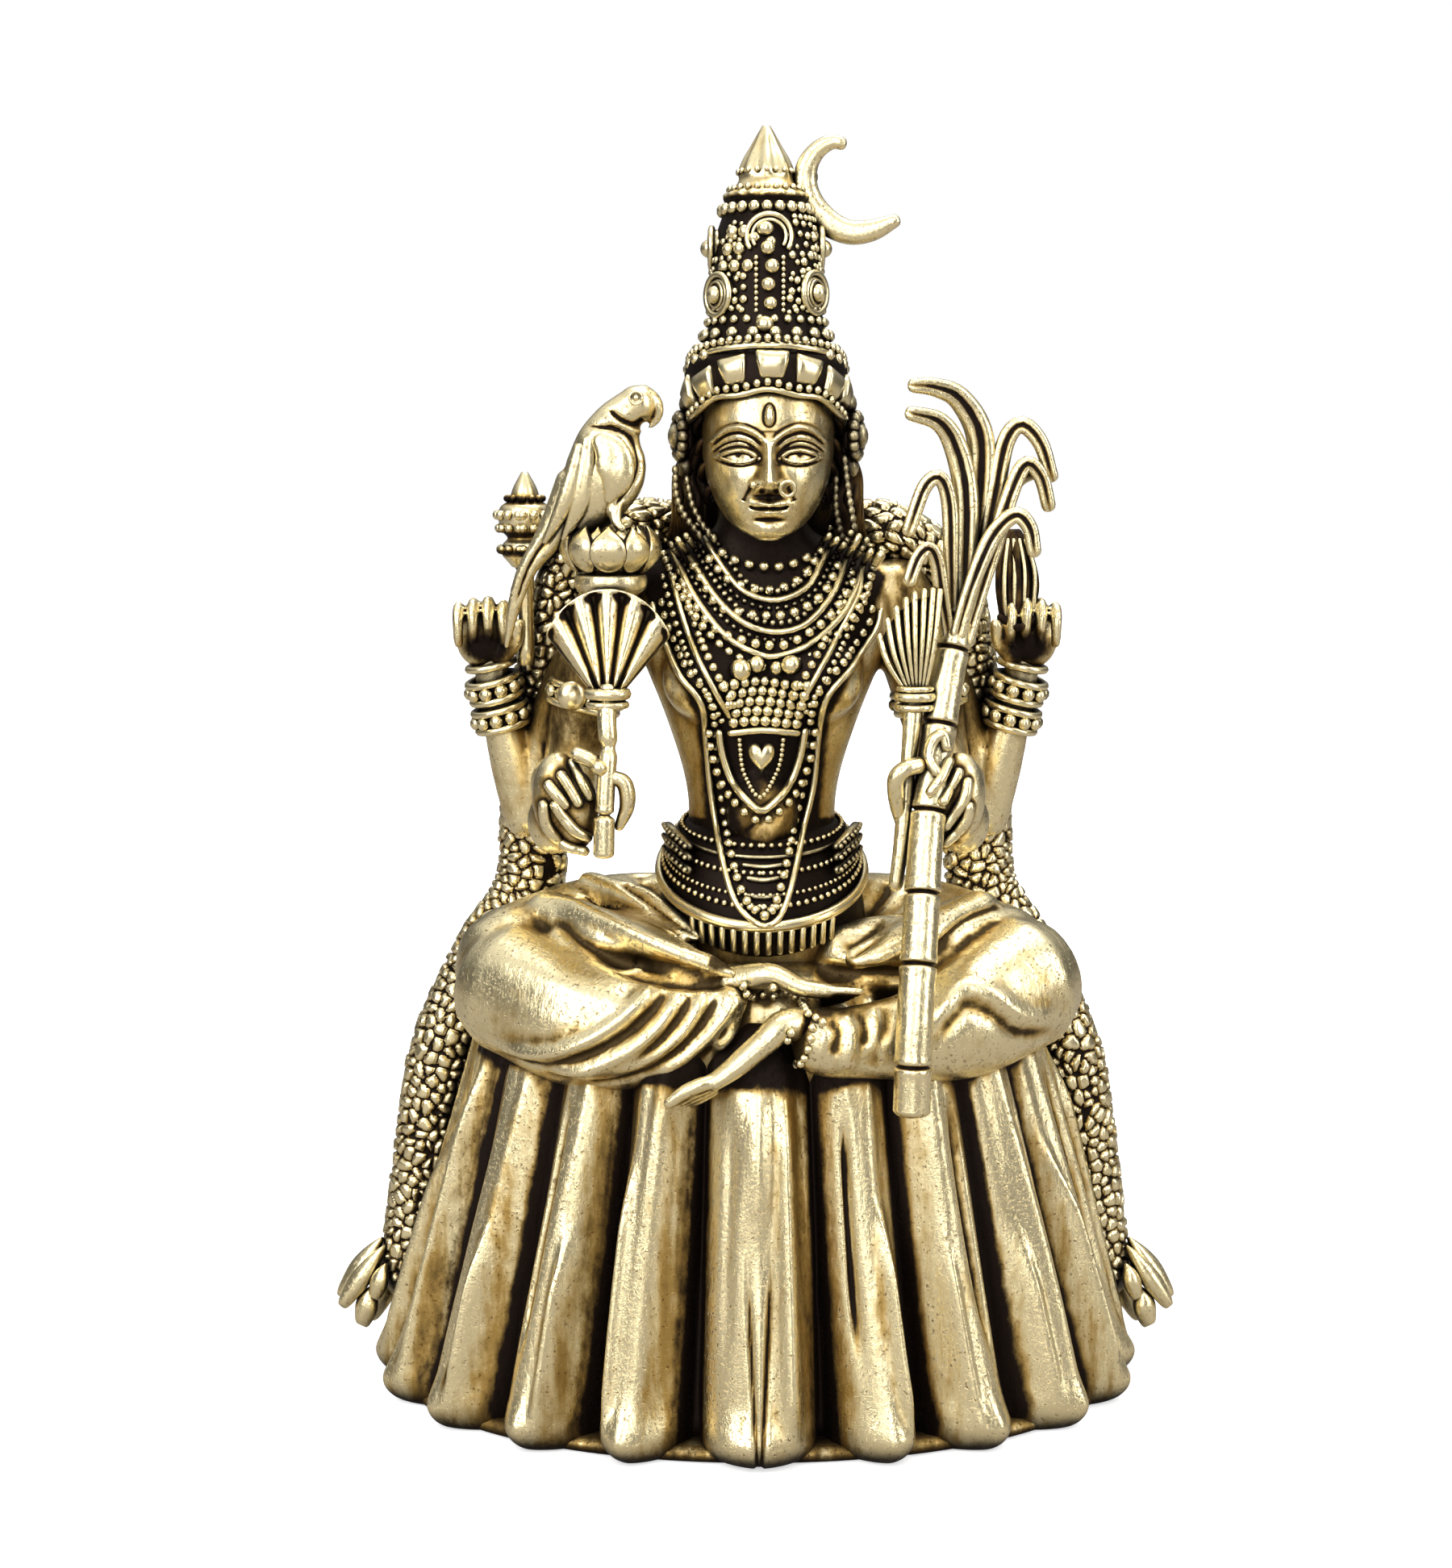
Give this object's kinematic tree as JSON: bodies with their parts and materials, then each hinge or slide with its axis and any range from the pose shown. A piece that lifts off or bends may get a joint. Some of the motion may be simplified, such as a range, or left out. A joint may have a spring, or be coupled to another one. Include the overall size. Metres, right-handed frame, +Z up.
{
  "type": "seated goddess figurine",
  "caption": "Seated many-armed goddess figurine in antiqued brass with parrot, sugar cane, goad and noose, on a pleated-cloth plinth with a flower garland; shrine or shelf ornament.",
  "frame": {"origin": "centre of the bounding box at the underside of the plinth", "axes": "+Z up; the goddess faces -Y, and her left hand is on the +X side"},
  "size_m": [0.0528, 0.0304, 0.076],
  "materials": {
    "antique_brass": "antiqued: dark brown in the recesses, worn bright on the high points"
  },
  "bodies": {
    "root": {"goddess_figure": "antique_brass"}
  },
  "joints": []
}
